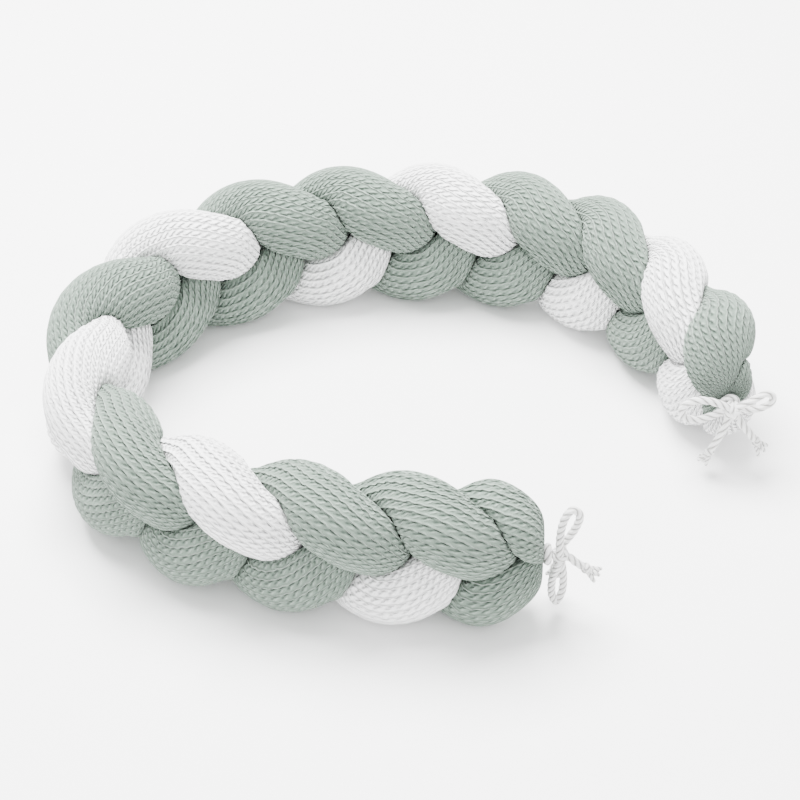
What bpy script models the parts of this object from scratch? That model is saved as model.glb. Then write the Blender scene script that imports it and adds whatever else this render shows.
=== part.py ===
"""Braided crib bumper: three stuffed knit tubes plaited, standing on edge in a C, bound and bowed at both ends.

Metres, +Z up. The plait stands on the surface on its lower edge. It starts at the near end, runs along the near
arm to the left, round the turn and along the far arm to the right. A place on it is given by its crossing
number: at each whole number one of the three strands passes over the top edge.
"""

import math

import bpy
import numpy as np

# Sizes of the plait.
RISE = 0.0425  # how far a strand's middle swings above and below mid height
SWAY = 0.0162  # how far it swings to either side of the plait's middle plane
STRAND_RADIUS = 0.0375  # a strand where it rounds the plait's top or bottom edge
CROSSING_PINCH = 0.21  # how much less that is, as a share, where the strand passes between the other two
SKIN_GAP = 0.0020  # between two strands at the skin
INNER_GAP = 0.0056  # between them deep inside, left for their flat facets
INNER_DEPTH = 0.012  # how far below the skin the gap has grown to that
CREASE = 0.006  # how round a strand is where it meets its neighbour
PRESSED_FLAT = 0.838  # the plait's width as a share of what round strands would give it
BRIDGE = 0.008  # how far the cloth fills out over the hollow where strands meet
MID_HEIGHT = 0.0768  # of the plait's middle above the surface
FLOOR_PRESS = 0.0010  # how far the resting lobes are pressed flat

# Sizes of the gathered ends.
FIRST_CROSSING = 0.76  # crossing number at the near tie
LAST_CROSSING = 15.45  # crossing number at the far tie
NEAR_BULGE = 0.076  # from the near tie to where the plait is full
FAR_BULGE = 0.052  # the same at the far tie
NECK_ACROSS = 0.100  # size of the gathered neck as a share of the full plait, crosswise
NECK_UPRIGHT = 0.066  # the same, upright
NECK_STUB = 0.0030  # of gathered cloth past the tie's middle
NECK_FLAT = 0.0042  # of gathered cloth before it, where the cord lies
NECK_GAP = 0.0004  # between the strands where they are gathered
NECK_HEIGHT = 0.0765  # of the neck above the surface

# Where the plait runs: crossing number, pitch to the next crossing in metres, heading in degrees from +X.
NEAR_TIE = (0.1281, -0.2345)
COURSE = (
    (0.0, 0.0840, 178.0),
    (1.0, 0.0873, 178.4),
    (2.0, 0.0908, 176.8),
    (3.0, 0.0959, 169.1),
    (4.0, 0.0945, 159.0),
    (5.0, 0.1030, 136.0),
    (6.0, 0.1120, 102.0),
    (7.0, 0.1100, 70.0),
    (8.0, 0.1070, 42.5),
    (9.0, 0.0990, 19.2),
    (10.0, 0.0960, 6.8),
    (11.0, 0.0938, -3.1),
    (12.0, 0.0925, -20.8),
    (13.0, 0.0920, -42.3),
    (14.0, 0.0930, -61.0),
    (15.0, 0.0940, -76.0),
    (16.0, 0.0940, -88.0),
)
COURSE_EASE = 0.3  # crossings over which the course's rows run into each other

# Strand by strand: its first top crossing, and the crossing numbers where its colour changes, each with the
# colour that follows.
STRANDS = {
    "outer": {
        "first_top": 1,
        "colours": ((0.0, "sage"), (1.62, "white"), (4.62, "sage"), (13.87, "white"), (15.24, "sage")),
    },
    "middle": {
        "first_top": 2,
        "colours": ((0.0, "sage"), (5.65, "white")),
    },
    "inner": {
        "first_top": 3,
        "colours": ((0.0, "sage"), (5.13, "white"), (6.85, "sage")),
    },
}
SEAM_GAP = 0.0003  # between two lengths of one strand

# The ties: a cord round each neck, tied in a bow just past the gathered cloth.
CORD_RADIUS = 0.0037
NECK_RADIUS = 0.0060  # the inside of the cord's turn
KNOT_HALF = (0.0075, 0.0062, 0.0060)  # outwards from the neck, sideways, up
KNOT_OUT = 0.0109  # of the knot's middle past the tie's middle
TOUCH = 0.0003  # between pieces that touch

# Each bow's cords from the knot's middle, in millimetres: to the right, away from the front, up. A loop's first
# and last points, and a tail's first, are on the lines along which they leave the knot.
BOWS = {
    "near": {
        "loop_upper": (
            (-0.9, -5.6, 7.0), (-1.4, -3.0, 27.0), (1.3, -1.5, 45.5), (7.5, 0.0, 55.5),
            (14.0, 1.5, 49.5), (14.4, 2.5, 39.5), (9.9, 3.4, 24.0), (0.9, 3.8, 8.1),
        ),
        "loop_lower": (
            (-0.9, -5.6, -7.0), (-5.2, -2.5, -28.0), (-4.8, -1.5, -49.0), (0.0, 0.0, -61.5),
            (4.8, 1.5, -49.0), (4.6, 2.5, -28.0), (0.9, 3.8, -8.1),
        ),
        "tail_front": ((8.7, -1.4, -2.4), (14.5, -2.4, -7.6), (21.0, -3.0, -12.4)),
        "tail_back": ((3.2, 8.5, 0.0), (3.0, 15.6, -9.4), (0.5, 19.4, -23.0), (-0.5, 20.2, -36.0)),
    },
    "far": {
        "loop_left": (
            (-5.4, -2.7, 6.7), (-22.5, -2.8, 14.2), (-37.6, -1.5, 13.8), (-47.6, 0.0, 3.4),
            (-45.6, 0.6, -8.6), (-33.0, 1.0, -13.2), (-19.0, 1.2, -8.2), (-8.8, 0.9, -1.4),
        ),
        "loop_right": (
            (5.0, -3.1, 6.8), (18.6, -3.0, 17.0), (28.6, -1.5, 22.6), (36.2, 0.5, 17.6),
            (35.0, 1.6, 7.4), (23.4, 2.6, -0.6), (8.4, 3.1, 0.0),
        ),
        "tail_left": ((-3.8, -4.0, -7.1), (-6.4, -5.6, -17.0), (-11.0, -6.4, -31.0), (-16.4, -6.8, -45.0)),
        "tail_right": ((5.4, -2.3, -6.8), (12.0, -5.4, -15.6), (19.0, -6.0, -24.6), (23.6, -6.4, -31.6)),
    },
}
CORD_LEAD = 0.0015  # how far a cord runs straight out of the knot

# A tail's end, knotted and frayed: how far past the tail and how wide, in millimetres.
TUFT = (
    (0.0, 3.4), (1.2, 4.9), (3.8, 5.6), (6.4, 4.8), (8.0, 3.5), (11.0, 3.7), (15.0, 4.4), (18.5, 4.8), (19.5, 3.6),
)

# Fineness of the solids.
RINGS_PER_CROSSING = 10
BULGE_RINGS = 10
SIDES = 14
RAYS = 120
TRACE_STEPS = 60
FINE = 40  # points on a strand's middle line for each crossing
REACH = 0.9  # crossings either side in which a neighbour is looked for

LOOP_POINTS = 15
TAIL_POINTS = 6
ROUND_SIDES = 12
TURN_POINTS = 20

COLOURS = {"sage": (0.42, 0.53, 0.45), "white": (0.87, 0.87, 0.86)}


def eased(at, column):
    """The course's column at these crossing numbers: straight between rows, averaged over a short stretch."""
    rows = np.array(COURSE)
    offsets = np.linspace(-COURSE_EASE, COURSE_EASE, 13)
    return np.mean([np.interp(at + step, rows[:, 0], rows[:, column]) for step in offsets], axis=0)


CROSSINGS = np.arange(round((FIRST_CROSSING - 0.5) * FINE), round((LAST_CROSSING + 0.5) * FINE) + 1) / FINE


def course_line():
    """Run along the plait, ground position and heading at each of CROSSINGS."""
    pitch = eased(CROSSINGS, 1)
    heading = np.radians(eased(CROSSINGS, 2))
    step = (pitch[1:] + pitch[:-1]) / 2 / FINE
    run = np.concatenate([[0], np.cumsum(step)])
    along = np.stack([np.cos(heading), np.sin(heading)], axis=1)
    moved = (along[1:] + along[:-1]) / 2 * step[:, None]
    ground = np.concatenate([[[0, 0]], np.cumsum(moved, axis=0)])
    start = np.array([np.interp(FIRST_CROSSING, CROSSINGS, ground[:, axis]) for axis in (0, 1)])
    return run, ground + NEAR_TIE - start, heading


RUN, GROUND, HEADING = course_line()
RUN_NEAR = np.interp(FIRST_CROSSING, CROSSINGS, RUN)
RUN_FAR = np.interp(LAST_CROSSING, CROSSINGS, RUN)


def drawn_in(crossing):
    """How full the plait is: 0 at either tie, 1 where it is full, rising as a quarter of an ellipse does."""
    run = np.interp(crossing, CROSSINGS, RUN)
    from_near = (run - RUN_NEAR - NECK_FLAT) / NEAR_BULGE
    from_far = (RUN_FAR - NECK_FLAT - run) / FAR_BULGE
    share = np.clip(np.minimum(from_near, from_far), 0, 1)
    return np.sqrt(1 - (1 - share) ** 2)


def plait_frame(crossing):
    """Ground position and outward direction at these crossing numbers."""
    ground = np.stack([np.interp(crossing, CROSSINGS, GROUND[:, axis]) for axis in (0, 1)], axis=-1)
    heading = np.interp(crossing, CROSSINGS, HEADING)
    across = np.stack([-np.sin(heading), np.cos(heading), 0 * heading], axis=-1)
    return np.concatenate([ground, 0 * ground[..., :1]], axis=-1), across


def strand_middle(name, crossing):
    """How far outwards and how high a strand's middle is, before the ends are drawn in."""
    turn = math.pi / 2 + 2 * math.pi / 3 * (crossing - STRANDS[name]["first_top"])
    return SWAY * np.sin(2 * turn), MID_HEIGHT + RISE * np.sin(turn)


def strand_lines():
    """Every strand's middle line as points, and its free radius, at each of CROSSINGS."""
    ground, across = plait_frame(CROSSINGS)
    lines = {}
    for name in STRANDS:
        side, height = strand_middle(name, CROSSINGS)
        points = ground + side[:, None] * across + height[:, None] * UP
        between = 1 - ((height - MID_HEIGHT) / RISE) ** 2
        lines[name] = (points, STRAND_RADIUS * (1 - CROSSING_PINCH * between))
    return lines


UP = np.array([0, 0, 1.0])
LINES = strand_lines()


def soft_least(first, second, width):
    """The lesser of two depths, rounded where they are within width of each other."""
    share = np.clip(0.5 + 0.5 * (second - first) / width, 0, 1)
    return second + (first - second) * share - width * share * (1 - share)


def depth_inside(name, points, window, gap):
    """How far inside the strand's skin these points are: its free radius, cut back by its neighbours and the floor."""
    clear = {}
    for other, (line, radius) in LINES.items():
        apart = np.linalg.norm(points[..., None, :] - line[window][:, None], axis=-1)
        clear[other] = (apart - radius[window][:, None]).min(axis=-1)
    free = BRIDGE * np.log(sum(np.exp(-np.clip(far / BRIDGE, -40, 40)) for far in clear.values()))
    own = clear.pop(name)
    deep = np.clip(free / INNER_DEPTH, 0, 1)
    gap = gap + SKIN_GAP + (INNER_GAP - SKIN_GAP) * deep
    pressed = (np.minimum(*clear.values()) - own - gap) / 2
    depth = soft_least(free, pressed, CREASE)
    return soft_least(depth, points[..., 2] + FLOOR_PRESS, CREASE / 3)


def skin_rings(name, crossings, sides):
    """Rings of points on a strand's skin, in planes square to the plait, evenly spaced round each ring."""
    angles = np.linspace(0, 2 * math.pi, RAYS, endpoint=False)
    ground, across = plait_frame(crossings)
    side, height = strand_middle(name, crossings)
    middle = ground + side[:, None] * across + height[:, None] * UP
    rays = np.cos(angles)[:, None] * across[:, None] + np.sin(angles)[:, None] * UP
    reach = round(REACH * FINE)
    nearest = np.round((crossings - CROSSINGS[0]) * FINE).astype(int)
    window = np.clip(nearest[:, None] + np.arange(-reach, reach + 1), 0, len(CROSSINGS) - 1)
    full = drawn_in(crossings)
    thin = NECK_ACROSS + (PRESSED_FLAT - NECK_ACROSS) * full
    low = NECK_UPRIGHT + (1 - NECK_UPRIGHT) * full
    gap = (NECK_GAP / low)[:, None]
    out = np.full((len(crossings), RAYS), 0.001)
    for _ in range(TRACE_STEPS):
        out += depth_inside(name, middle[:, None] + rays * out[..., None], window, gap)
    outwards = side[:, None] + np.cos(angles) * out
    upwards = np.maximum(height[:, None] + np.sin(angles) * out, 0)
    level = NECK_HEIGHT + (MID_HEIGHT - NECK_HEIGHT) * full
    outwards = outwards * thin[:, None]
    upwards = level[:, None] + (upwards - MID_HEIGHT) * low[:, None]
    rim = ground[:, None] + outwards[..., None] * across[:, None] + upwards[..., None] * UP
    return np.stack([evenly_round(ring, sides) for ring in rim])


def evenly_round(ring, sides):
    """A closed ring's points spaced again, evenly along it."""
    closed = np.concatenate([ring, ring[:1]])
    along = np.concatenate([[0], np.cumsum(np.linalg.norm(np.diff(closed, axis=0), axis=1))])
    at = np.linspace(0, along[-1], sides, endpoint=False)
    return np.stack([np.interp(at, along, closed[:, axis]) for axis in range(3)], axis=1)


def closed_tube(rings):
    """Points and faces of a tube through these rings, with a flat cap at each end."""
    count, sides = rings.shape[:2]
    index = np.arange(count * sides).reshape(count, sides)
    here, beside = index[:-1], np.roll(index, -1, axis=1)[:-1]
    after, after_beside = index[1:], np.roll(index, -1, axis=1)[1:]
    walls = np.stack([here, beside, after_beside, after], axis=-1).reshape(-1, 4).tolist()
    return rings.reshape(-1, 3), walls + [index[0][::-1].tolist(), index[-1].tolist()]


def add_solid(name, points, faces, colour):
    """One named object from points and faces, with its own material."""
    mesh = bpy.data.meshes.new(name)
    mesh.from_pydata([tuple(point) for point in points], [], faces)
    mesh.validate()
    mesh.shade_smooth()
    mesh.materials.append(cloth_material(name, colour))
    solid = bpy.data.objects.new(name, mesh)
    bpy.context.scene.collection.objects.link(solid)
    return solid


def cloth_material(name, colour):
    material = bpy.data.materials.new(name)
    material.use_nodes = True
    shader = material.node_tree.nodes["Principled BSDF"]
    shader.inputs["Base Color"].default_value = (*COLOURS[colour], 1)
    shader.inputs["Roughness"].default_value = 0.9
    return material


def ring_places():
    """Crossing numbers of the rings: evenly spaced, and by the bulge's own roundness where an end is drawn in."""
    rise = 1 - np.cos(np.linspace(0, math.pi / 2, BULGE_RINGS))
    near = RUN_NEAR + np.concatenate([[-NECK_STUB], NECK_FLAT + NEAR_BULGE * rise])
    far = RUN_FAR - np.concatenate([[-NECK_STUB], NECK_FLAT + FAR_BULGE * rise])
    start, end = np.interp([near[-1], far[-1]], RUN, CROSSINGS)
    between = np.linspace(start, end, round((end - start) * RINGS_PER_CROSSING) + 1)[1:-1]
    return np.concatenate([np.interp(near, RUN, CROSSINGS), between, np.interp(far, RUN, CROSSINGS)[::-1]])


def lengths_of(strand):
    """The strand's lengths of one colour: number, colour and the crossing numbers of their rings."""
    places = ring_places()
    starts = [max(start, places[0]) for start, _ in strand["colours"]]
    ends = starts[1:] + [places[-1]]
    half_seam = SEAM_GAP / 2 / 0.09
    for number, (start, end) in enumerate(zip(starts, ends)):
        first = start + (half_seam if number > 0 else 0)
        last = end - (half_seam if end < places[-1] else 0)
        inside = places[(places > first + 0.03) & (places < last - 0.03)]
        if end == places[-1]:
            inside = places[(places > first + 0.03) & (places < last)]
        if number == 0:
            inside = places[(places > first) & (places < last - 0.03)]
        yield number + 1, strand["colours"][number][1], np.concatenate([[first], inside, [last]])


def build_strands():
    for name, strand in STRANDS.items():
        for number, colour, places in lengths_of(strand):
            points, faces = closed_tube(skin_rings(name, places, SIDES))
            add_solid(f"strand_{name}_{number}_{colour}", points, faces, colour)


def ring_faces(rings, sides, closed_ends=True):
    """Faces of a tube numbered ring by ring."""
    faces = []
    for ring in range(rings - 1):
        for side in range(sides):
            here, beside = ring * sides + side, ring * sides + (side + 1) % sides
            faces.append((here, beside, beside + sides, here + sides))
    if closed_ends:
        faces.append(tuple(range(sides))[::-1])
        faces.append(tuple(range((rings - 1) * sides, rings * sides)))
    return faces


def smooth_route(points, count):
    """Evenly numbered points on a smooth curve that runs through all of these."""
    points = np.array(points, float)
    padded = np.concatenate([[2 * points[0] - points[1]], points, [2 * points[-1] - points[-2]]])
    route = []
    for at in np.linspace(0, len(points) - 1, count):
        leg = min(int(at), len(points) - 2)
        share = at - leg
        before, start, end, after = padded[leg : leg + 4]
        route.append(
            start
            + share * (end - before) / 2
            + share**2 * (before - 2.5 * start + 2 * end - after / 2)
            + share**3 * (1.5 * (start - end) + (after - before) / 2)
        )
    return np.array(route)


def add_cord(name, route):
    """A plain round cord along these points, as a curve with its own thickness."""
    curve = bpy.data.curves.new(name, "CURVE")
    curve.dimensions = "3D"
    curve.bevel_depth = CORD_RADIUS
    curve.bevel_resolution = 2
    curve.use_fill_caps = True
    spline = curve.splines.new("POLY")
    spline.points.add(len(route) - 1)
    for place, point in zip(spline.points, route):
        place.co = (*point, 1)
    curve.materials.append(cloth_material(name, "white"))
    cord = bpy.data.objects.new(name, curve)
    bpy.context.scene.collection.objects.link(cord)


def neck(crossing, outwards):
    """Middle of a tied neck and the direction that its gathered end points in."""
    ground, across = plait_frame(np.array([crossing]))
    along = np.array([across[0, 1], -across[0, 0], 0]) * outwards
    return ground[0] + NECK_HEIGHT * UP, along


def add_turn(name, middle, along):
    """The cord's turn round the neck: a ring standing square to the neck."""
    sideways = np.cross(UP, along)
    points = []
    for step in range(TURN_POINTS):
        round_neck = 2 * math.pi * step / TURN_POINTS
        out = math.cos(round_neck) * sideways + math.sin(round_neck) * UP
        for side in range(8):
            angle = 2 * math.pi * side / 8
            reach = NECK_RADIUS + CORD_RADIUS + CORD_RADIUS * math.cos(angle)
            points.append(middle + reach * out - CORD_RADIUS * math.sin(angle) * along)
    faces = []
    for step in range(TURN_POINTS):
        for side in range(8):
            here, beside = step * 8 + side, step * 8 + (side + 1) % 8
            after, after_beside = here + 8, beside + 8
            count = TURN_POINTS * 8
            faces.append((here, beside, after_beside % count, after % count))
    add_solid(name, points, faces, "white")


def add_knot(name, middle, along):
    """The bow's knot: a ball pressed to an egg, its long way along the neck."""
    sideways = np.cross(UP, along)
    points = []
    rings = 9
    for ring in range(rings):
        angle = math.pi * (ring + 0.5) / rings
        for side in range(ROUND_SIDES):
            turn = 2 * math.pi * side / ROUND_SIDES
            x, y, z = math.cos(angle), math.sin(angle) * math.cos(turn), math.sin(angle) * math.sin(turn)
            points.append(
                middle - KNOT_HALF[0] * x * along + KNOT_HALF[1] * y * sideways + KNOT_HALF[2] * z * UP
            )
    add_solid(name, points, ring_faces(rings, ROUND_SIDES), "white")


def add_tuft(name, start, direction):
    """A tail's knotted and frayed end: a turned shape from the tail's end onwards."""
    sideways = np.cross(direction, UP)
    sideways = sideways / np.linalg.norm(sideways)
    upwards = np.cross(direction, sideways)
    points = []
    for along, width in TUFT:
        for side in range(ROUND_SIDES):
            turn = 2 * math.pi * side / ROUND_SIDES
            out = math.cos(turn) * sideways + math.sin(turn) * upwards
            points.append(start + (along * direction + width * out) / 1000)
    add_solid(name, points, ring_faces(len(TUFT), ROUND_SIDES), "white")


def leaving_knot(point, along):
    """Two points straight out from the knot's skin, on the line from the knot's middle through this point."""
    direction = point / np.linalg.norm(point)
    parts = np.array([direction @ along, direction @ np.cross(UP, along), direction @ UP])
    reach = 1 / np.linalg.norm(parts / KNOT_HALF) + TOUCH
    return direction * reach, direction * (reach + CORD_LEAD)


def cord_route(table, along, is_loop):
    """A cord's points from the knot's middle: out of the knot, smoothly on, and a loop back into it."""
    points = np.array(table) / 1000
    start, after_start = leaving_knot(points[0], along)
    if is_loop:
        end, before_end = leaving_knot(points[-1], along)
        between = smooth_route([after_start, *points[1:-1], before_end], LOOP_POINTS)
        return np.concatenate([[start], between, [end]])
    return np.concatenate([[start], smooth_route([after_start, *points[1:]], TAIL_POINTS)])


def build_tie(end, crossing, outwards):
    middle, along = neck(crossing, outwards)
    knot = middle + KNOT_OUT * along
    add_turn(f"tie_{end}_turn", middle, along)
    add_knot(f"tie_{end}_knot", knot, along)
    for name, table in BOWS[end].items():
        is_loop = name.startswith("loop")
        route = knot + cord_route(table, along, is_loop)
        add_cord(f"tie_{end}_{name}", route)
        if not is_loop:
            direction = route[-1] - route[-2]
            direction = direction / np.linalg.norm(direction)
            add_tuft(f"tie_{end}_{name}_tuft", route[-1] + TOUCH * direction, direction)


def clear_scene():
    for leftover in list(bpy.data.objects):
        bpy.data.objects.remove(leftover, do_unlink=True)


clear_scene()
build_strands()
build_tie("near", FIRST_CROSSING, -1)
build_tie("far", LAST_CROSSING, 1)
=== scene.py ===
"""Looks of the braided crib bumper: ribbed knit tubes plaited in a C, and twisted cotton cords tied in bows.

Metres, +Z up, in the same frame as the solids. A place on the plait is given by its crossing number: at each
whole number one of the three strands passes over the top edge.
"""

import math

import bpy
import numpy as np
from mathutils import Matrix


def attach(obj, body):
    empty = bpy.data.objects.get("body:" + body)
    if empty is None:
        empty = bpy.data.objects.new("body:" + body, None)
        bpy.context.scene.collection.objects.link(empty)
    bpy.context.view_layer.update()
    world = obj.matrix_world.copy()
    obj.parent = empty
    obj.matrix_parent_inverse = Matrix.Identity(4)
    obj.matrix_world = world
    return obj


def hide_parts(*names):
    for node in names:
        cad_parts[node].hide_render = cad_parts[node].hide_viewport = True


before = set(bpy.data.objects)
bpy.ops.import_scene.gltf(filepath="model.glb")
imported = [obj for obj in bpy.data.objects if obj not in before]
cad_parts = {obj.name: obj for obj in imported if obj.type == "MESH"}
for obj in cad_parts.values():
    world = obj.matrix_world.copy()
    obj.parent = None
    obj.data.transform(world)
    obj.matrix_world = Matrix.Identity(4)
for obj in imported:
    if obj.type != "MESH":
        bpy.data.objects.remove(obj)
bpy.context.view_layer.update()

UP = np.array([0, 0, 1.0])
FULL_TURN = 2 * math.pi

# Sizes of the plait, as in its solids.
RISE = 0.0425  # how far a strand's middle swings above and below mid height
SWAY = 0.0195  # how far it swings to either side of the plait's middle plane
HOLD = 0.034  # the swing that counts where strands press on each other: the one in front holds its shape
HOLD_PINCH = 0.12  # as CROSSING_PINCH, where strands press
HOLD_SAG = 0.10  # how much more of their shape the lower lobes hold than the upper ones, as a share
HOLD_FULLER = 0.20  # how much more a strand holds where it passes over another
STRAND_RADIUS = 0.0375  # a strand where it rounds the plait's top or bottom edge
CROSSING_PINCH = 0.21  # how much less that is, as a share, where the strand passes between the other two
CLOTH_GAP = 0.0012  # between two strands that press on each other, filled by their ribs
CREASE = 0.006  # how round a strand is where it meets its neighbour
PRESSED_FLAT = 0.80  # the plait's width as a share of what round strands would give it
TIP = 0.011  # how round its corner is where it meets both
BRIDGE = 0.0055  # how far the cloth fills out over the hollow where strands meet
MID_HEIGHT = 0.0768  # of the plait's middle above the surface
FLOOR_PRESS = 0.0010  # how far the resting lobes are pressed flat

# Sizes of the gathered ends.
FIRST_CROSSING = 0.76  # crossing number at the near tie
LAST_CROSSING = 15.45  # crossing number at the far tie
NEAR_BULGE = 0.076  # from the near tie to where the plait is full
FAR_BULGE = 0.052  # the same at the far tie
NECK_ACROSS = 0.068  # size of the gathered neck as a share of the full plait, crosswise
NECK_UPRIGHT = 0.037  # the same, upright
NECK_STUB = 0.0030  # of gathered cloth past the tie's middle
NECK_FLAT = 0.0042  # of gathered cloth before it, where the cord lies
NECK_HEIGHT = 0.0765  # of the neck above the surface
ROUNDNESS = 2.35  # 2 would make each bulge a quarter of an ellipse, more fills out its corner
PAST_TIE = 0.0050  # how far the cloth swells past the tie round the neck
DIMPLE = 0.15  # how full the cloth is where that swelling starts

# Where the plait runs: crossing number, pitch to the next crossing in metres, heading in degrees from +X.
NEAR_TIE = (0.1281, -0.2345)
COURSE = (
    (0.0, 0.0840, 178.0),
    (1.0, 0.0873, 178.4),
    (2.0, 0.0908, 176.8),
    (3.0, 0.0959, 169.1),
    (4.0, 0.0945, 159.0),
    (5.0, 0.1030, 136.0),
    (6.0, 0.1120, 102.0),
    (7.0, 0.1100, 70.0),
    (8.0, 0.1070, 42.5),
    (9.0, 0.0990, 19.2),
    (10.0, 0.0960, 6.8),
    (11.0, 0.0938, -3.1),
    (12.0, 0.0925, -20.8),
    (13.0, 0.0920, -42.3),
    (14.0, 0.0930, -61.0),
    (15.0, 0.0940, -76.0),
    (16.0, 0.0940, -88.0),
)
COURSE_EASE = 0.3  # crossings over which the course's rows run into each other
FINE = 40  # steps for each crossing in which the course is added up
PAST_END = 0.5  # crossings past either tie to which the course and the strands are worked out

# Strand by strand: its first top crossing, and the crossing numbers where its colour changes.
STRANDS = {
    "outer": {
        "first_top": 1,
        "colours": ((0.0, "sage"), (1.62, "white"), (4.62, "sage"), (13.87, "white"), (15.24, "sage")),
    },
    "middle": {
        "first_top": 2,
        "colours": ((0.0, "sage"), (5.65, "white")),
    },
    "inner": {
        "first_top": 3,
        "colours": ((0.0, "sage"), (5.13, "white"), (6.85, "sage")),
    },
}

# The knit: ribs that run along each strand, with a row of pits beside each.
RIBS = 22  # round a strand
COLUMNS_PER_RIB = 6
RINGS_PER_ROW = 3
ROW = 0.0062  # from one row of stitches to the next
BASE_STEP = 2 * ROW / RINGS_PER_ROW  # from one worked-out ring to the next
RIB_TWIST = {"outer": 0.25, "middle": -0.15, "inner": 0.25}  # turns that the ribs wander round each strand
TWIST_REPEAT = 9.0  # crossings from one such turn to the next
RIB_HEIGHT = 0.0011
PIT_DEPTH = 0.0011
PUFF_HEIGHT = 0.0005
SEAM_DEPTH = 0.0012  # of the sewn groove where the colour changes
SEAM_WIDTH = 0.002  # half of that groove
RIB_START = 0.2  # of a rib, where its share across is 0
RIDGE_AT = 0.80  # share of a rib where its ridge stands
SLANT_RISE = 0.8  # rows that a furrow climbs across a rib
SLANT_START = -0.73  # rows at which it starts
RAYS = RIBS * COLUMNS_PER_RIB * 3 // 5  # round a base ring
TURN_IN = 1.0  # crossings from each tie in which the rings turn square to the strand
TRACE_STEPS = 34  # outwards along each ray to the skin
LINE_STEPS = 20  # points on a strand's middle line for each crossing
REACH = 0.9  # crossings either side in which a neighbour is looked for

# The ties: a cord round each neck, tied in a bow just past the gathered cloth.
CORD_RADIUS = 0.0037
NECK_RADIUS = 0.0028  # the inside of the cord's turn
KNOT_HALF = (0.0075, 0.0062, 0.0060)  # outwards from the neck, sideways, up
KNOT_OUT = 0.0109  # of the knot's middle past the tie's middle
TOUCH = 0.0003

# Each bow's cords from the knot's middle, in millimetres: to the right, away from the front, up. A loop's
# first and last points, and a tail's first, are on the lines along which they leave the knot.
BOWS = {
    "near": {
        "loop_upper": (
            (-0.9, -5.6, 7.0), (-1.4, -3.0, 27.0), (1.3, -1.5, 45.5), (7.5, 0.0, 55.5),
            (14.0, 1.5, 49.5), (14.4, 2.5, 39.5), (9.9, 3.4, 24.0), (0.9, 3.8, 8.1),
        ),
        "loop_lower": (
            (-0.9, -5.6, -7.0), (-5.2, -2.5, -28.0), (-4.8, -1.5, -49.0), (0.0, 0.0, -61.5),
            (4.8, 1.5, -49.0), (4.6, 2.5, -28.0), (0.9, 3.8, -8.1),
        ),
        "tail_front": ((8.7, -1.4, -2.4), (14.5, -2.4, -7.6), (21.0, -3.0, -12.4)),
        "tail_back": ((3.2, 8.5, 0.0), (3.0, 15.6, -9.4), (0.5, 19.4, -23.0), (-0.5, 20.2, -36.0)),
    },
    "far": {
        "loop_left": (
            (-5.4, -2.7, 6.7), (-22.5, -2.8, 14.2), (-37.6, -1.5, 13.8), (-47.6, 0.0, 3.4),
            (-45.6, 0.6, -8.6), (-33.0, 1.0, -13.2), (-19.0, 1.2, -8.2), (-8.8, 0.9, -1.4),
        ),
        "loop_right": (
            (5.0, -3.1, 6.8), (18.6, -3.0, 17.0), (28.6, -1.5, 22.6), (36.2, 0.5, 17.6),
            (35.0, 1.6, 7.4), (23.4, 2.6, -0.6), (8.4, 3.1, 0.0),
        ),
        "tail_left": ((-3.8, -4.0, -7.1), (-6.4, -5.6, -17.0), (-11.0, -6.4, -31.0), (-16.4, -6.8, -45.0)),
        "tail_right": ((5.4, -2.3, -6.8), (12.0, -5.4, -15.6), (19.0, -6.0, -24.6), (23.6, -6.4, -31.6)),
    },
}

# Each bow is tied from two ends of cord, and each end makes one loop and then one tail.
CORD_ENDS = {
    "near": (("loop_upper", "tail_front"), ("loop_lower", "tail_back")),
    "far": (("loop_left", "tail_right"), ("loop_right", "tail_left")),
}

# Twisted cotton cord.
PLIES = 3
TWIST = 0.0195  # of cord for one full turn of its plies
PLY_GROOVE = 0.26  # how deep the grooves between plies are, as a share of the cord's radius
CORD_SIDES = 24
CORD_STEP = 0.0010

# A tail's end: a small knot with a core, and locks of loose plies past it.
END_KNOT_AT = 0.0030  # past the end of the tail
END_KNOT_REACH = 0.0024  # of the small knot's turn
END_KNOT_RADIUS = 0.0028  # of the cord in it
CORE_RADIUS = 0.0032
LOCKS = 7
LOCK_TURN = 0.382  # of a full turn from one lock to the next
LOCK_RADIUS = 0.0021
LOCK_LENGTH = (0.0145, 0.0165)
LOCK_SPREAD = 0.0068  # to the side, of the outermost
LOCK_CURL = 0.0008
LOCK_TWIST = 0.009
LOCK_STEP = 0.0009

# The bow's knot: for each of its turns a shift along its axis, how the axis leans to the side and up, and
# the turn's reach. All of them, and the cord's radius, are for a knot of size 1.
WINDINGS = ((0.0000, 1.0, 0.35, 0.0046), (0.0010, -0.75, 0.75, 0.0044), (-0.0012, 0.25, -1.0, 0.0042))
WINDING_RADIUS = 0.0035
WINDING_TWIST = 0.018
KNOT_CORE_RADIUS = 0.0044
KNOT_SIZE = {"near": 1.0, "far": 1.2}

# Camera and light.
CAMERA_ELEVATION = math.radians(42.3134)
CAMERA_DISTANCE = 1.92694
CAMERA_AIM = (-0.0019, 0.0512)
CAMERA_LENS = 84.98
SKY_STRENGTH = 2.4
KEY_PLACE = (-0.4, 0.7, 2.4)
KEY_SIZE = 1.6
KEY_POWER = 405
FLOOR_HALF = 30.0
FLOOR_COLOUR = (0.95, 0.95, 0.95)

# Colours of the knit and the cord: the body, a painted highlight on its raised yarn, and painted shade in its
# hollows.
SAGE = (0.150, 0.198, 0.162)
SAGE_PAINTED_HIGHLIGHT = (0.30, 0.37, 0.315)
SAGE_PAINTED_SHADE = (0.027, 0.050, 0.036)
WHITE = (0.92, 0.92, 0.92)
WHITE_PAINTED_HIGHLIGHT = (0.97, 0.97, 0.97)
WHITE_PAINTED_SHADE = (0.50, 0.50, 0.505)
COTTON = (0.93, 0.93, 0.92)
COTTON_PAINTED_SHADE = (0.20, 0.195, 0.185)


# The plait's course.


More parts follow.
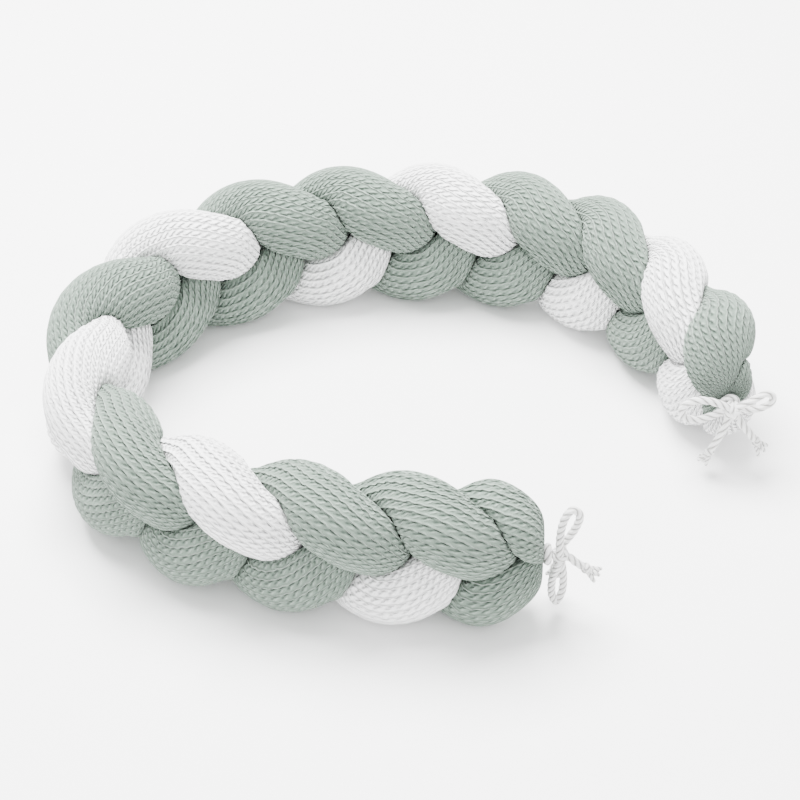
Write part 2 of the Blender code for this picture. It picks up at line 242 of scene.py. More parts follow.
def unit(vectors):
    """Vectors of length one that point the same way."""
    return vectors / np.linalg.norm(vectors, axis=-1, keepdims=True)


def eased(at, column):
    """The course's column at these crossing numbers: straight between rows, averaged over a short
    stretch."""
    rows = np.array(COURSE)
    offsets = np.linspace(-COURSE_EASE, COURSE_EASE, 13)
    return np.mean([np.interp(at + step, rows[:, 0], rows[:, column]) for step in offsets], axis=0)


def steps_of_a_crossing(steps):
    """Crossing numbers from before the near tie to past the far one, this many to a crossing."""
    first, last = round((FIRST_CROSSING - PAST_END) * steps), round((LAST_CROSSING + PAST_END) * steps)
    return np.arange(first, last + 1) / steps


FINE_CROSSINGS = steps_of_a_crossing(FINE)


def course_line():
    """Run along the plait, ground position and heading at each of FINE_CROSSINGS, by adding up short
    steps."""
    pitch = eased(FINE_CROSSINGS, 1)
    heading = np.radians(eased(FINE_CROSSINGS, 2))
    step = (pitch[1:] + pitch[:-1]) / 2 / FINE
    run = np.concatenate([[0], np.cumsum(step)])
    along = np.stack([np.cos(heading), np.sin(heading)], axis=1)
    moved = (along[1:] + along[:-1]) / 2 * step[:, None]
    ground = np.concatenate([[[0, 0]], np.cumsum(moved, axis=0)])
    start = np.array([np.interp(FIRST_CROSSING, FINE_CROSSINGS, ground[:, axis]) for axis in (0, 1)])
    return run, ground + NEAR_TIE - start, heading


RUN, GROUND, HEADING = course_line()
PITCH = eased(FINE_CROSSINGS, 1)
RUN_NEAR = np.interp(FIRST_CROSSING, FINE_CROSSINGS, RUN)
RUN_FAR = np.interp(LAST_CROSSING, FINE_CROSSINGS, RUN)


def bulge(share):
    """How full the cloth is at this share of a bulge: a quarter of an ellipse, with its corner filled
    out."""
    return (1 - (1 - share) ** ROUNDNESS) ** (1 / ROUNDNESS)


def drawn_in(crossing):
    """How full the plait is: 0 at either tie, 1 where it is full."""
    run = np.interp(crossing, FINE_CROSSINGS, RUN)
    from_near = (run - RUN_NEAR - NECK_FLAT) / NEAR_BULGE
    from_far = (RUN_FAR - NECK_FLAT - run) / FAR_BULGE
    return bulge(np.clip(np.minimum(from_near, from_far), 0, 1))


def plait_frame(crossing):
    """Ground position, outward direction and forward direction at these crossing numbers."""
    ground = np.stack([np.interp(crossing, FINE_CROSSINGS, GROUND[:, axis]) for axis in (0, 1)], axis=-1)
    heading = np.interp(crossing, FINE_CROSSINGS, HEADING)
    across = np.stack([-np.sin(heading), np.cos(heading), 0 * heading], axis=-1)
    along = np.stack([np.cos(heading), np.sin(heading), 0 * heading], axis=-1)
    return np.concatenate([ground, 0 * ground[..., :1]], axis=-1), across, along


def strand_middle(name, crossing, sway=SWAY):
    """Points on a strand's middle line, before the ends are drawn in: a wave up and down, and one twice as
    quick to either side."""
    ground, across, _ = plait_frame(crossing)
    turn = math.pi / 2 + FULL_TURN / 3 * (crossing - STRANDS[name]["first_top"])
    side, height = sway * np.sin(2 * turn), MID_HEIGHT + RISE * np.sin(turn)
    return ground + side[..., None] * across + height[..., None] * UP


LINE_CROSSINGS = steps_of_a_crossing(LINE_STEPS)


def strand_lines(sway, pinch, sag, fuller):
    """Every strand's middle line as points, and its radius there: less at mid height by pinch, more below
    by sag, and more by fuller where the strand is furthest to either side."""
    lines = {}
    for name in STRANDS:
        line = strand_middle(name, LINE_CROSSINGS, sway)
        height = (line[:, 2] - MID_HEIGHT) / RISE
        aside = 2 * np.abs(height) * np.sqrt(np.maximum(1 - height**2, 0))
        radius = STRAND_RADIUS * (1 - pinch * (1 - height**2) - sag * height + fuller * aside)
        lines[name] = (line, radius)
    return lines


LINES = strand_lines(SWAY, CROSSING_PINCH, 0.0, 0.0)
HOLDING_LINES = strand_lines(HOLD, HOLD_PINCH, HOLD_SAG, HOLD_FULLER)


# The strands' skin.


def soft_least(first, second, width):
    """The lesser of two depths, rounded where they are within width of each other."""
    share = np.clip(0.5 + 0.5 * (second - first) / width, 0, 1)
    return second + (first - second) * share - width * share * (1 - share)


def clearance(points, line, radius, window):
    """Distance from each point to the nearest place on the line, less the radius there."""
    near = line[window]
    squares = (points**2).sum(-1)[..., None] + (near**2).sum(-1)[:, None]
    apart = squares - 2 * np.einsum("rai,rwi->raw", points, near)
    return (np.sqrt(np.maximum(apart, 1e-9)) - radius[window][:, None]).min(axis=-1)


def depth_inside(name, points, window):
    """How far inside the strand's skin these points are: its free radius, cut back by its neighbours and
    the floor."""
    skins = [clearance(points, *line, window) for line in LINES.values()]
    free = BRIDGE * np.log(sum(np.exp(-np.clip(far / BRIDGE, -40, 40)) for far in skins))
    clear = {other: clearance(points, *line, window) for other, line in HOLDING_LINES.items()}
    own = clear.pop(name)
    pressed = [(other - own - CLOTH_GAP) / 2 for other in clear.values()]
    depth = soft_least(free, soft_least(*pressed, TIP), CREASE)
    return soft_least(depth, points[..., 2] + FLOOR_PRESS, CREASE / 3)


def ring_planes(name, crossings):
    """Each ring's middle and the two directions that span its plane, which is square to the strand, and
    near a tie turns square to the plait."""
    step = 0.01  # of a crossing
    _, across, along = plait_frame(crossings)
    own = unit(strand_middle(name, crossings + step) - strand_middle(name, crossings - step))
    share = np.clip(np.minimum(crossings - FIRST_CROSSING, LAST_CROSSING - crossings) / TURN_IN, 0, 1)
    share = share**2 * (3 - 2 * share)
    normal = unit(along + (own - along) * share[:, None])
    outwards = unit(across - (across * normal).sum(-1, keepdims=True) * normal)
    return strand_middle(name, crossings), outwards, np.cross(normal, outwards)


def full_size_rings(name, crossings):
    """Rings of the strand's skin before the ends are drawn in: each ray from the strand's middle is
    followed outwards, by the depth inside the skin at every step."""
    angles = np.arange(RAYS) * FULL_TURN / RAYS
    middle, outwards, upwards = ring_planes(name, crossings)
    ray = np.cos(angles)[:, None] * outwards[:, None] + np.sin(angles)[:, None] * upwards[:, None]
    reach = round(REACH * LINE_STEPS)
    nearest = np.round((crossings - LINE_CROSSINGS[0]) * LINE_STEPS).astype(int)
    window = np.clip(nearest[:, None] + np.arange(-reach, reach + 1), 0, len(LINE_CROSSINGS) - 1)
    out = np.full((len(crossings), RAYS), 0.001)
    for _ in range(TRACE_STEPS):
        out += depth_inside(name, middle[:, None] + ray * out[..., None], window)
    points = middle[:, None] + ray * out[..., None]
    points[..., 2] = np.maximum(points[..., 2], 0)
    return points


def draw_to_ties(points, crossings):
    """The rings drawn in towards the ties: each point keeps its crossing, and shrinks across and upright.
    Half way out from the neck the cloth swells past the tie, so that the tie lies in a dimple. A point's
    crossing is found in three rounds, from how far ahead of its ring's crossing it lies."""
    place = np.repeat(crossings[:, None], points.shape[1], axis=1)
    for _ in range(3):
        ground, _, along = plait_frame(place)
        place = place + ((points - ground) * along).sum(-1) / np.interp(place, FINE_CROSSINGS, PITCH)
        place = np.clip(place, FINE_CROSSINGS[0], FINE_CROSSINGS[-1])
    ground, across, along = plait_frame(place)
    full = drawn_in(place)
    thin = NECK_ACROSS + (PRESSED_FLAT - NECK_ACROSS) * full
    low = NECK_UPRIGHT + (1 - NECK_UPRIGHT) * full
    level = NECK_HEIGHT + (MID_HEIGHT - NECK_HEIGHT) * full
    side = ((points - ground) * across).sum(-1) * thin
    height = level + (points[..., 2] - MID_HEIGHT) * low
    outwards = np.sign(place - (FIRST_CROSSING + LAST_CROSSING) / 2)
    swell = np.sin(math.pi * np.clip((full - DIMPLE) / (1 - DIMPLE), 0, 1)) ** 2
    past = PAST_TIE * outwards * swell
    return ground + side[..., None] * across + height[..., None] * UP + past[..., None] * along


def bulge_runs(length):
    """Distances from a bulge's start, evenly spaced over its cloth."""
    share = 1 - np.cos(np.linspace(0, math.pi / 2, 400))
    legs = np.hypot(length * np.diff(share), MID_HEIGHT * np.diff(bulge(share)))
    cloth = np.concatenate([[0], np.cumsum(legs)])
    count = round(cloth[-1] / BASE_STEP)
    return length * np.interp(np.linspace(0, cloth[-1], count), cloth, share)


def ring_crossings(name):
    """Crossing numbers of the base rings: evenly over each bulge's cloth, and by the strand's length
    between."""
    stub = [-NECK_STUB, -NECK_STUB / 2, 0, NECK_FLAT / 2]
    near = RUN_NEAR + np.concatenate([stub, NECK_FLAT + bulge_runs(NEAR_BULGE)])
    far = RUN_FAR - np.concatenate([stub, NECK_FLAT + bulge_runs(FAR_BULGE)])
    start, end = np.interp([near[-1], far[-1]], RUN, FINE_CROSSINGS)
    fine = np.linspace(start, end, 4000)
    line = strand_middle(name, fine)
    length = np.concatenate([[0], np.cumsum(np.linalg.norm(np.diff(line, axis=0), axis=1))])
    count = round(length[-1] / BASE_STEP)
    between = np.interp(np.linspace(0, length[-1], count + 1)[1:-1], length, fine)
    return np.concatenate(
        [np.interp(near, RUN, FINE_CROSSINGS), between, np.interp(far, RUN, FINE_CROSSINGS)[::-1]]
    )


def curved_between(rows, at):
    """Rows read at these fractional places, on a smooth curve through them all."""
    last = len(rows) - 1
    leg = np.clip(at.astype(int), 0, last - 1)
    share = (at - leg).reshape((-1,) + (1,) * (rows.ndim - 1))
    before, start = rows[np.maximum(leg - 1, 0)], rows[leg]
    end, after = rows[leg + 1], rows[np.minimum(leg + 2, last)]
    return (
        start
        + share * (end - before) / 2
        + share**2 * (before - 2.5 * start + 2 * end - after / 2)
        + share**3 * (1.5 * (start - end) + (after - before) / 2)
    )


def evenly_round(ring, sides, start):
    """A closed ring's points spaced again, evenly from this share of it, on a smooth curve through its
    points."""
    closed = np.concatenate([ring[-1:], ring, ring[:2]])
    along = np.concatenate([[0], np.cumsum(np.linalg.norm(np.diff(closed[1:-1], axis=0), axis=1))])
    at = np.interp((np.arange(sides) / sides + start) % 1 * along[-1], along, np.arange(len(along)))
    return curved_between(closed, at + 1)


def skin_grid(name):
    """The strand's whole skin as rings of points, and the crossing number of each ring."""
    base = ring_crossings(name)
    rings = draw_to_ties(full_size_rings(name, base), base)
    twist = RIB_TWIST[name] * np.sin(FULL_TURN * (base - 3) / TWIST_REPEAT)
    rings = np.stack([evenly_round(ring, RIBS * COLUMNS_PER_RIB, start) for ring, start in zip(rings, twist)])
    at = np.arange(2 * len(base) - 1) / 2
    return curved_between(rings, at), np.interp(at, np.arange(len(base)), base)


def outward_normals(grid):
    """Each point's direction square to the skin, from its neighbours round the ring and along the
    strand."""
    round_ring = np.roll(grid, -1, axis=1) - np.roll(grid, 1, axis=1)
    along = np.gradient(grid, axis=0)
    normal = np.cross(round_ring, along)
    normal = normal / np.maximum(np.linalg.norm(normal, axis=-1, keepdims=True), 1e-12)
    out = grid - grid.mean(axis=1, keepdims=True)
    return normal * np.sign((normal * out).sum(-1).mean())


def knit_relief(rib, row):
    """The knit's height at these counts of ribs and rows: a thin ridge, before it a long pit in each row,
    before that a furrow that slants up to the pit, and a puff of yarn between one furrow and the next."""
    across = (rib - RIB_START) % 1
    slant = FULL_TURN * (row + SLANT_RISE * across + SLANT_START)
    ridge = np.exp(-(((across - RIDGE_AT) / 0.11) ** 2))
    pit = np.exp(-(((across - 0.62) / 0.10) ** 2)) * (0.5 + 0.5 * np.cos(FULL_TURN * row)) ** 0.7
    valley = np.exp(-(((across - 0.34) / 0.20) ** 2))
    furrow = valley * (0.5 + 0.5 * np.cos(slant)) ** 2
    puff = valley * (0.5 - 0.5 * np.cos(slant))
    return RIB_HEIGHT * ridge - PIT_DEPTH * (pit + 0.6 * furrow) + PUFF_HEIGHT * puff


def raise_knit(grid, seams):
    """The skin with its ribs, pits and sewn seams raised along the normals, less where the cloth is
    gathered."""
    rings, columns = grid.shape[:2]
    rib = np.arange(columns)[None, :] / COLUMNS_PER_RIB
    row = np.arange(rings)[:, None] / RINGS_PER_ROW
    girth = np.linalg.norm(grid - np.roll(grid, 1, axis=1), axis=-1).sum(axis=1)
    share = np.clip(girth / np.median(girth), 0, 1)[:, None]
    height = knit_relief(rib, row) * share
    for seam in seams:
        from_seam = np.abs(np.arange(rings) - seam)[:, None] * ROW / RINGS_PER_ROW
        height = height - SEAM_DEPTH * np.exp(-((from_seam / SEAM_WIDTH) ** 2))
    raised = grid + outward_normals(grid) * height[..., None]
    raised[..., 2] = np.maximum(raised[..., 2], 0)
    return raised


def grid_faces(index, closed):
    """Quads between neighbours of a grid of point numbers, round each ring and from each ring to the
    next."""
    here, after = (index, np.roll(index, -1, axis=0)) if closed else (index[:-1], index[1:])
    corners = [here, np.roll(here, -1, axis=1), np.roll(after, -1, axis=1), after]
    return np.stack(corners, axis=-1).reshape(-1, 4)


def grid_uv(across, along):
    """The same quads' corners on a UV map: across and along, given at each ring and column and at one more
    of each."""
    corners = [(slice(None, -1), slice(None, -1)), (slice(None, -1), slice(1, None))]
    corners += [(slice(1, None), slice(1, None)), (slice(1, None), slice(None, -1))]
    return np.stack([np.stack([across[at], along[at]], axis=-1) for at in corners], axis=-2).reshape(-1, 2)


def tubes_mesh(name, tubes):
    """One mesh of several tubes. Each is its rings of points, whether its last ring joins its first, and
    its UV map across and along. An open tube's ends are closed by a fan about a point."""
    points, quads, caps, uv, start = [], [], [], [], 0
    for rings, closed, across, along in tubes:
        count, sides = rings.shape[:2]
        index = start + np.arange(count * sides).reshape(count, sides)
        points.append(rings.reshape(-1, 3))
        quads.append(grid_faces(index, closed))
        uv.append(grid_uv(across, along))
        start += count * sides
        if not closed:
            points += [rings[:1].mean(axis=1), rings[-1:].mean(axis=1)]
            caps.append(np.stack([np.roll(index[0], -1), index[0], np.full(sides, start)], axis=-1))
            caps.append(np.stack([index[-1], np.roll(index[-1], -1), np.full(sides, start + 1)], axis=-1))
            start += 2
    caps = np.concatenate(caps) if caps else np.zeros((0, 3), int)
    quads, points = np.concatenate(quads), np.concatenate(points)
    sizes = np.concatenate([np.full(len(quads), 4), np.full(len(caps), 3)])
    uv = np.concatenate(uv + [np.zeros((caps.size, 2))])
    mesh = bpy.data.meshes.new(name)
    mesh.vertices.add(len(points))
    mesh.vertices.foreach_set("co", points.astype(np.float32).ravel())
    mesh.loops.add(quads.size + caps.size)
    mesh.loops.foreach_set("vertex_index", np.concatenate([quads.ravel(), caps.ravel()]).astype(np.int32))
    mesh.polygons.add(len(sizes))
    mesh.polygons.foreach_set("loop_start", (np.cumsum(sizes) - sizes).astype(np.int32))
    mesh.polygons.foreach_set("use_smooth", np.ones(len(sizes), dtype=bool))
    mesh.uv_layers.new(name="cloth").uv.foreach_set("vector", uv.astype(np.float32).ravel())
    mesh.update()
    mesh.validate()
    return mesh


def add_piece(name, mesh, material, slot, *nodes):
    """A mesh as a piece of the object, which rides on its only body and stands for these solids."""
    mesh.materials.clear()
    mesh.materials.append(material)
    piece = bpy.data.objects.new(name, mesh)
    bpy.context.scene.collection.objects.link(piece)
    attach(piece, "root")
    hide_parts(*nodes)
    return piece


def build_strands(materials):
    """Every strand's lengths of one colour, each from the rings between two seams."""
    for name, strand in STRANDS.items():
        grid, crossings = skin_grid(name)
        seams = [int(np.argmin(np.abs(crossings - start))) for start, _ in strand["colours"][1:]]
        grid = raise_knit(grid, seams)
        starts, ends = [0] + seams, seams + [len(crossings) - 1]
        for number, (start, end) in enumerate(zip(starts, ends)):
            colour = strand["colours"][number][1]
            node = f"strand_{name}_{number + 1}_{colour}"
            rows, ribs = np.mgrid[start : end + 1, 0 : RIBS * COLUMNS_PER_RIB + 1]
            length = (grid[start : end + 1], False, ribs / COLUMNS_PER_RIB, rows / RINGS_PER_ROW)
            mesh = tubes_mesh(node + "_knit", [length])
            piece = add_piece(node + "_knit", mesh, materials[colour], f"{colour}_knit", node)


# Materials.


def node_maths(tree):
    """A short way to add a Math node: maths(operation, first, second), where each is a number or a
    socket."""

    def maths(operation, *values):
        node = tree.nodes.new("ShaderNodeMath")
        node.operation = operation
        for socket, value in zip(node.inputs, values):
            if isinstance(value, (int, float)):
                socket.default_value = value
            else:
                tree.links.new(value, socket)
        return node.outputs[0]

    return maths


def noise(tree, vector, scale, detail=2.0):
    """Plain noise, about 0 to 1, of this scale."""
    node = tree.nodes.new("ShaderNodeTexNoise")
    node.inputs["Scale"].default_value = scale
    node.inputs["Detail"].default_value = detail
    tree.links.new(vector, node.inputs["Vector"])
    return node.outputs["Fac"]


def mixed(tree, share, first, second):
    """First colour turning to the second by share. Either is a colour or a socket."""
    node = tree.nodes.new("ShaderNodeMix")
    node.data_type = "RGBA"
    tree.links.new(share, node.inputs["Factor"])
    for socket, colour in ((node.inputs["A"], first), (node.inputs["B"], second)):
        if isinstance(colour, tuple):
            socket.default_value = (*colour, 1)
        else:
            tree.links.new(colour, socket)
    return node.outputs["Result"]


def knit_material(name, body, light, painted_shade):
    """Ribbed knit cotton, counted in ribs and rows on the UV map as in knit_relief: ridges and puffs of
    yarn turned to the light colour as a painted highlight, pits and furrows between them turned to a
    darker colour as painted shade, and random mottled patches turned the same way."""
    material = bpy.data.materials.new(name)
    material.use_nodes = True
    tree = material.node_tree
    shader = tree.nodes["Principled BSDF"]
    maths = node_maths(tree)
    place = tree.nodes.new("ShaderNodeTexCoord")
    split = tree.nodes.new("ShaderNodeSeparateXYZ")
    tree.links.new(place.outputs["UV"], split.inputs[0])
    drift = maths("MULTIPLY", maths("SUBTRACT", noise(tree, place.outputs["Object"], 90), 0.5), 0.30)
    row = maths("ADD", split.outputs["Y"], maths("MULTIPLY", drift, 1.5))
    weave = maths("MULTIPLY", maths("SINE", maths("MULTIPLY", row, FULL_TURN)), 0.035)
    rib = maths("ADD", maths("ADD", split.outputs["X"], drift), weave)
    across = maths("FRACT", maths("SUBTRACT", rib, RIB_START))

    def hump(centre, width):
        off = maths("DIVIDE", maths("SUBTRACT", across, centre), width)
        return maths("EXPONENT", maths("MULTIPLY", maths("MULTIPLY", off, off), -1.0))

    def wave(value, sharpness):
        half = maths("MULTIPLY_ADD", maths("COSINE", maths("MULTIPLY", value, FULL_TURN)), 0.5, 0.5)
        return maths("POWER", half, sharpness)

    slant = maths("ADD", row, maths("MULTIPLY_ADD", across, SLANT_RISE, SLANT_START))
    ridge = hump(RIDGE_AT, 0.085)
    pit = maths("MULTIPLY", hump(0.63, 0.080), wave(row, 0.8))
    furrow = maths("MULTIPLY", hump(0.36, 0.20), wave(slant, 4.5))
    puff = maths("MULTIPLY", hump(0.30, 0.24), wave(maths("ADD", slant, 0.36), 2.5))
    fibres = noise(tree, place.outputs["Object"], 1500, 3.0)
    mottle = noise(tree, place.outputs["Object"], 420, 2.0)
    dark = maths("ADD", pit, maths("MULTIPLY", furrow, 0.85))
    bright = maths("ADD", ridge, maths("MULTIPLY", puff, 0.65))
    height = maths("SUBTRACT", bright, maths("MULTIPLY", dark, 1.2))
    height = maths("ADD", height, maths("MULTIPLY", mottle, 0.5))
    height = maths("ADD", height, maths("MULTIPLY", fibres, 0.2))

    bump = tree.nodes.new("ShaderNodeBump")
    bump.inputs["Strength"].default_value = 1.0
    bump.inputs["Distance"].default_value = 0.0016
    tree.links.new(height, bump.inputs["Height"])
    tree.links.new(bump.outputs["Normal"], shader.inputs["Normal"])

    # Painted highlight: the ridges and puffs turn from the body colour to the light colour.
    raised = mixed(tree, maths("MINIMUM", bright, 1.0), body, light)
    patches = maths("MULTIPLY", maths("SUBTRACT", mottle, 0.45), 0.3)
    # Painted shade: the pits and furrows turn to the darker colour, and random mottled patches do too.
    painted_shade_and_mottle = maths("ADD", maths("MULTIPLY", dark, 0.85), patches)
    painted_shade_and_mottle = maths("MAXIMUM", maths("MINIMUM", painted_shade_and_mottle, 1.0), 0.0)
    tree.links.new(mixed(tree, painted_shade_and_mottle, raised, painted_shade), shader.inputs["Base Color"])
    shader.inputs["Roughness"].default_value = 0.92
    shader.inputs["Specular IOR Level"].default_value = 0.2
    shader.inputs["Sheen Weight"].default_value = 0.15
    shader.inputs["Sheen Roughness"].default_value = 0.5
    return material


def cotton_material(name):
    """Twisted white cotton, counted in plies on the UV map: painted shade where two plies meet and, more
    faintly, between the fine strands along each, with a little random tone from the fibres."""
    material = bpy.data.materials.new(name)
    material.use_nodes = True
    tree = material.node_tree
    shader = tree.nodes["Principled BSDF"]
    maths = node_maths(tree)
    place = tree.nodes.new("ShaderNodeTexCoord")
    split = tree.nodes.new("ShaderNodeSeparateXYZ")
    tree.links.new(place.outputs["UV"], split.inputs[0])
    crown = maths("ABSOLUTE", maths("COSINE", maths("MULTIPLY", split.outputs["X"], math.pi)))
    turned = maths("MULTIPLY_ADD", split.outputs["X"], 3.0, maths("MULTIPLY", split.outputs["Y"], 2.0))
    strands = maths("MULTIPLY_ADD", maths("COSINE", maths("MULTIPLY", turned, FULL_TURN)), 0.5, 0.5)
    fibres = noise(tree, place.outputs["Object"], 1400, 3.0)
    height = maths("ADD", maths("MULTIPLY", strands, 0.5), fibres)
    height = maths("ADD", height, maths("POWER", crown, 0.6))
    bump = tree.nodes.new("ShaderNodeBump")
    bump.inputs["Strength"].default_value = 0.9
    bump.inputs["Distance"].default_value = 0.0006
    tree.links.new(height, bump.inputs["Height"])
    tree.links.new(bump.outputs["Normal"], shader.inputs["Normal"])
    # Painted shade: greyer in the grooves where plies meet and between the fine strands, plus a little random
    # tone from the fibres.
    groove = maths("POWER", maths("SUBTRACT", 1.0, crown), 1.6)
    between = maths("MULTIPLY", maths("SUBTRACT", 1.0, strands), 0.12)
    shade = maths("ADD", maths("MULTIPLY", groove, 0.9), between)
    shade = maths("MINIMUM", maths("ADD", shade, maths("MULTIPLY", fibres, 0.15)), 1.0)
    tree.links.new(mixed(tree, shade, COTTON, COTTON_PAINTED_SHADE), shader.inputs["Base Color"])
    shader.inputs["Roughness"].default_value = 0.9
    shader.inputs["Specular IOR Level"].default_value = 0.2
    shader.inputs["Sheen Weight"].default_value = 0.15
    return material


# The ties.


def even_path(points, step, closed=False):
    """A smooth curve through these points, read at even steps along it."""
    points = np.array(points, float)
    if closed:
        rows = np.concatenate([points[-1:], points, points[:2]])
        at = np.linspace(1, len(points) + 1, 60 * len(points))
    else:
        rows = np.concatenate([2 * points[:1] - points[1:2], points, 2 * points[-1:] - points[-2:-1]])
        at = np.linspace(1, len(points), 60 * len(points))
    fine = curved_between(rows, at)
    length = np.concatenate([[0], np.cumsum(np.linalg.norm(np.diff(fine, axis=0), axis=1))])
    count = max(round(length[-1] / step), 3)
    even = np.linspace(0, length[-1], count + 1)
    path = np.stack([np.interp(even, length, fine[:, axis]) for axis in range(3)], axis=1)
    return path[:-1] if closed else path


def path_frames(path, closed=False):
    """At each point of a path, two directions square to it that turn with it and no more than it does."""
    if closed:
        ahead = unit(np.roll(path, -1, axis=0) - np.roll(path, 1, axis=0))
    else:
        ahead = unit(np.gradient(path, axis=0))
    side = np.empty_like(ahead)
    start = np.cross(ahead[0], UP if abs(ahead[0] @ UP) < 0.9 else np.array([1.0, 0, 0]))
    for place, direction in enumerate(ahead):
        start = start - (start @ direction) * direction
        start = start / np.linalg.norm(start)
        side[place] = start
    return side, np.cross(ahead, side)


def cord_tube(path, radius, closed=False, plies=PLIES, twist=TWIST, thin=None):
    """A twisted cord along a path, as tubes_mesh takes it: its radius dips where two plies meet, and the
    dips turn with the path. The UV map counts plies across and lengths of one ply's crossing along."""
    side, other = path_frames(path, closed)
    step = np.linalg.norm(path[1] - path[0])
    count = len(path)
    turns = np.arange(count + 1) * step / twist
    if closed:
        ahead = unit(path[0] - path[-1])
        last = side[-1] - (side[-1] @ ahead) * ahead
        slip = math.atan2(np.cross(side[0], last) @ ahead, side[0] @ last) / FULL_TURN
        turns = np.arange(count + 1) / count * (round(turns[-1] * plies) / plies + slip)
    share = np.arange(CORD_SIDES + 1) / CORD_SIDES
    ply = plies * (share - turns[:, None])
    reach = radius * (1 - PLY_GROOVE * (1 - np.sqrt(np.abs(np.cos(math.pi * ply[:-1, :-1])))))
    if thin is not None:
        reach = reach * thin[:, None]
    angle = share[:-1] * FULL_TURN
    rings = path[:, None] + (reach * np.cos(angle))[..., None] * side[:, None]
    rings = rings + (reach * np.sin(angle))[..., None] * other[:, None]
    rows = count + 1 if closed else count
    along = np.broadcast_to(np.arange(rows)[:, None] * step * plies / twist, (rows, CORD_SIDES + 1))
    return rings, closed, ply[:rows], along


def neck(crossing, outwards):
    """Middle of a tied neck and the direction that its gathered end points in."""
    ground, _, along = plait_frame(np.array([crossing]))
    return ground[0] + NECK_HEIGHT * UP, along[0] * outwards


def knot_skin(point, along):
    """Where the line from the knot's middle through this point leaves the knot."""
    direction = unit(np.array(point, float))
    parts = np.array([direction @ along, direction @ np.cross(UP, along), direction @ UP])
    return direction * (1 / np.linalg.norm(parts / KNOT_HALF) + TOUCH)


def tied_end_path(loop, tail, along):
    """One end of cord from the knot's middle: out of the knot, round its loop, through the knot and down
    its tail."""
    loop, tail = np.array(loop) / 1000, np.array(tail) / 1000
    lead = 1.25  # how far straight out of the knot a cord goes, as a share of its skin's distance
    out, back, leave = knot_skin(loop[0], along), knot_skin(loop[-1], along), knot_skin(tail[0], along)
    points = [out, out * lead, *loop[1:-1], back * lead, back]
    points += [(back + leave) / 5, leave, leave * lead, *tail[1:]]
    return even_path(points, CORD_STEP)


def round_path(middle, first, second, reach, step=0.0008):
    """A closed path round a middle, in the plane of two directions: cosine along one and sine along the
    other."""
    count = 24
    angles = np.arange(count)[:, None] * FULL_TURN / count
    return even_path(middle + reach * (np.cos(angles) * first + np.sin(angles) * second), step, True)


def frayed_end(node, start, direction, material):
    """A tail's end: a small knot, and the cord's plies spread and curling past it."""
    sideways = unit(np.cross(direction, UP))
    upwards = np.cross(sideways, direction)
    leaning = unit(sideways + 0.35 * direction)
    ring = round_path(start + END_KNOT_AT * direction, leaning, upwards, END_KNOT_REACH)
    core = start + np.linspace(-0.001, 0.0075, 5)[:, None] * direction
    tubes = [
        cord_tube(ring, END_KNOT_RADIUS, True, twist=0.012),
        cord_tube(even_path(core, LOCK_STEP), CORE_RADIUS, twist=0.014),
    ]
    random = np.random.default_rng(7)
    for lock in range(LOCKS):
        turn = FULL_TURN * lock * LOCK_TURN
        spread = LOCK_SPREAD * math.sqrt((lock + 0.5) / LOCKS)
        aside = math.cos(turn) * sideways + math.sin(turn) * upwards
        curl = random.uniform(-LOCK_CURL, LOCK_CURL, (2, 3))
        length = random.uniform(*LOCK_LENGTH)
        points = [
            start + 0.0045 * direction + 0.25 * spread * aside,
            start + 0.0080 * direction + 0.45 * spread * aside + curl[0] / 2,
            start + 0.0120 * direction + 0.85 * spread * aside + curl[1],
            start + length * direction + spread * aside + curl[0],
        ]
        path = even_path(points, LOCK_STEP)
        thin = np.interp(np.arange(len(path)), [0, len(path) * 0.7, len(path) - 1], [1, 1, 0.8])
        tubes.append(cord_tube(path, LOCK_RADIUS, plies=2, twist=LOCK_TWIST, thin=thin))
    name = node + "_frayed"
    return add_piece(name, tubes_mesh(name, tubes), material, "cord", node)


def wound_knot(node, middle, along, size, material):
    """The bow's knot: three turns of cord wound over each other about a full core, to this size."""
    sideways = np.cross(UP, along)
    tubes = []
    for shift, lean_side, lean_up, reach in WINDINGS:
        axis = unit(lean_side * sideways + lean_up * UP)
        first = unit(along - (along @ axis) * axis)
        path = round_path(middle + size * shift * axis, first, np.cross(axis, first), size * reach)
        tubes.append(cord_tube(path, size * WINDING_RADIUS, True, twist=WINDING_TWIST))
    core = middle + size * np.linspace(-0.005, 0.005, 7)[:, None] * along
    tubes.append(cord_tube(even_path(core, CORD_STEP), size * KNOT_CORE_RADIUS))
    name = node + "_wound"
    return add_piece(name, tubes_mesh(name, tubes), material, "cord", node)


def neck_turn(node, middle, along, material):
    """The cord's turn, tight round the neck."""
    path = round_path(middle, np.cross(UP, along), UP, NECK_RADIUS + CORD_RADIUS)
    name = node + "_cord"
    return add_piece(name, tubes_mesh(name, [cord_tube(path, CORD_RADIUS, True)]), material, "cord", node)


def build_tie(end, crossing, outwards, material):
    """A tie: its turn round the neck, its knot, and two ends of cord, each with a loop, a tail and a frayed
    end."""
    middle, along = neck(crossing, outwards)
    knot = middle + KNOT_OUT * along
    neck_turn(f"tie_{end}_turn", middle, along, material)
    wound_knot(f"tie_{end}_knot", knot, along, KNOT_SIZE[end], material)
    for loop, tail in CORD_ENDS[end]:
        path = knot + tied_end_path(BOWS[end][loop], BOWS[end][tail], along)
        direction = unit(path[-1] - path[-3])
        frayed = frayed_end(f"tie_{end}_{tail}_tuft", path[-1], direction, material)
        name = f"tie_{end}_cord_{loop.split('_')[1]}"
        mesh = tubes_mesh(name, [cord_tube(path, CORD_RADIUS)])
        cord = add_piece(name, mesh, material, "cord", f"tie_{end}_{loop}", f"tie_{end}_{tail}")
        tuple(path[0])
        [tuple(point) for point in path]


# Stage, light and camera.


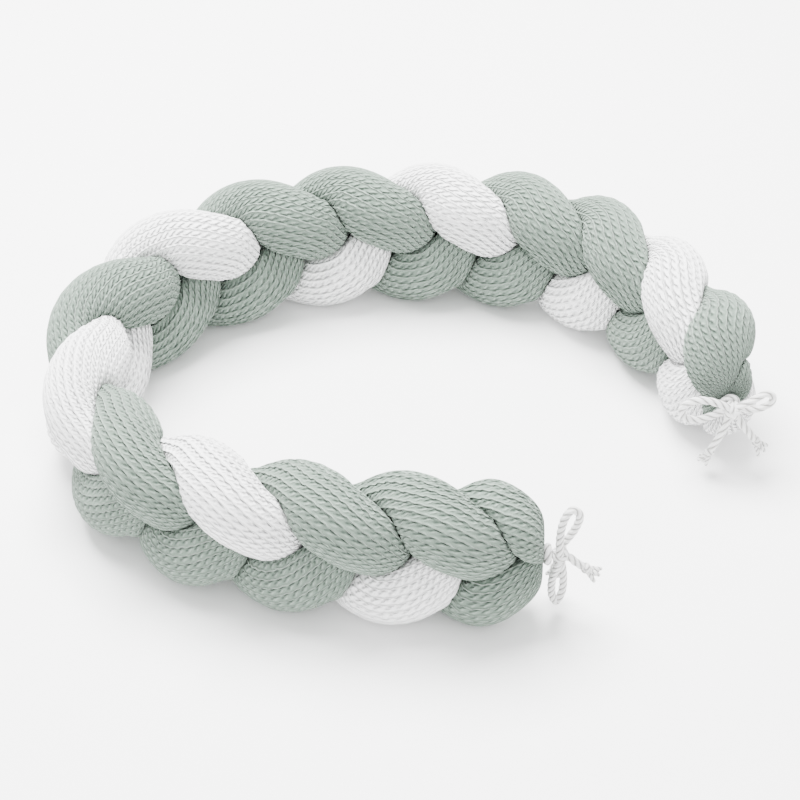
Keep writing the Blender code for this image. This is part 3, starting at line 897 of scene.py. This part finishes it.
def build_stage():
    """A plain pale floor, wide enough that its edge is never seen."""
    half = FLOOR_HALF
    corners = [(-half, -half, 0), (half, -half, 0), (half, half, 0), (-half, half, 0)]
    mesh = bpy.data.meshes.new("floor")
    mesh.from_pydata(corners, [], [(0, 1, 2, 3)])
    material = bpy.data.materials.new("floor")
    material.use_nodes = True
    shader = material.node_tree.nodes["Principled BSDF"]
    shader.inputs["Base Color"].default_value = (*FLOOR_COLOUR, 1)
    shader.inputs["Roughness"].default_value = 0.9
    mesh.materials.append(material)
    floor = bpy.data.objects.new("floor", mesh)
    bpy.context.scene.collection.objects.link(floor)


def build_light():
    """An even white sky, and one large square light above, turned to face the object."""
    world = bpy.data.worlds.new("studio")
    world.use_nodes = True
    background = world.node_tree.nodes["Background"]
    background.inputs["Color"].default_value = (1, 1, 1, 1)
    background.inputs["Strength"].default_value = SKY_STRENGTH
    bpy.context.scene.world = world
    data = bpy.data.lights.new("key", "AREA")
    data.shape = "SQUARE"
    data.size = KEY_SIZE
    data.energy = KEY_POWER
    light = bpy.data.objects.new("key", data)
    light.location = KEY_PLACE
    east, north, height = KEY_PLACE
    light.rotation_euler = (math.atan2(math.hypot(east, north), height), 0, math.atan2(east, -north))
    bpy.context.scene.collection.objects.link(light)


def build_camera():
    """The camera, looking in +Y and down at its aim on the floor."""
    data = bpy.data.cameras.new("camera")
    data.lens = CAMERA_LENS
    data.sensor_width = 36
    camera = bpy.data.objects.new("camera", data)
    back = CAMERA_DISTANCE * math.cos(CAMERA_ELEVATION)
    height = CAMERA_DISTANCE * math.sin(CAMERA_ELEVATION)
    camera.location = (CAMERA_AIM[0], CAMERA_AIM[1] - back, height)
    camera.rotation_euler = (math.pi / 2 - CAMERA_ELEVATION, 0, 0)
    bpy.context.scene.collection.objects.link(camera)
    bpy.context.scene.camera = camera


build_camera()
build_light()
build_stage()
cotton = cotton_material("cotton_cord")
build_tie("near", FIRST_CROSSING, -1, cotton)
build_tie("far", LAST_CROSSING, 1, cotton)
build_strands(
    {
        "sage": knit_material("sage_knit", SAGE, SAGE_PAINTED_HIGHLIGHT, SAGE_PAINTED_SHADE),
        "white": knit_material("white_knit", WHITE, WHITE_PAINTED_HIGHLIGHT, WHITE_PAINTED_SHADE),
    }
)
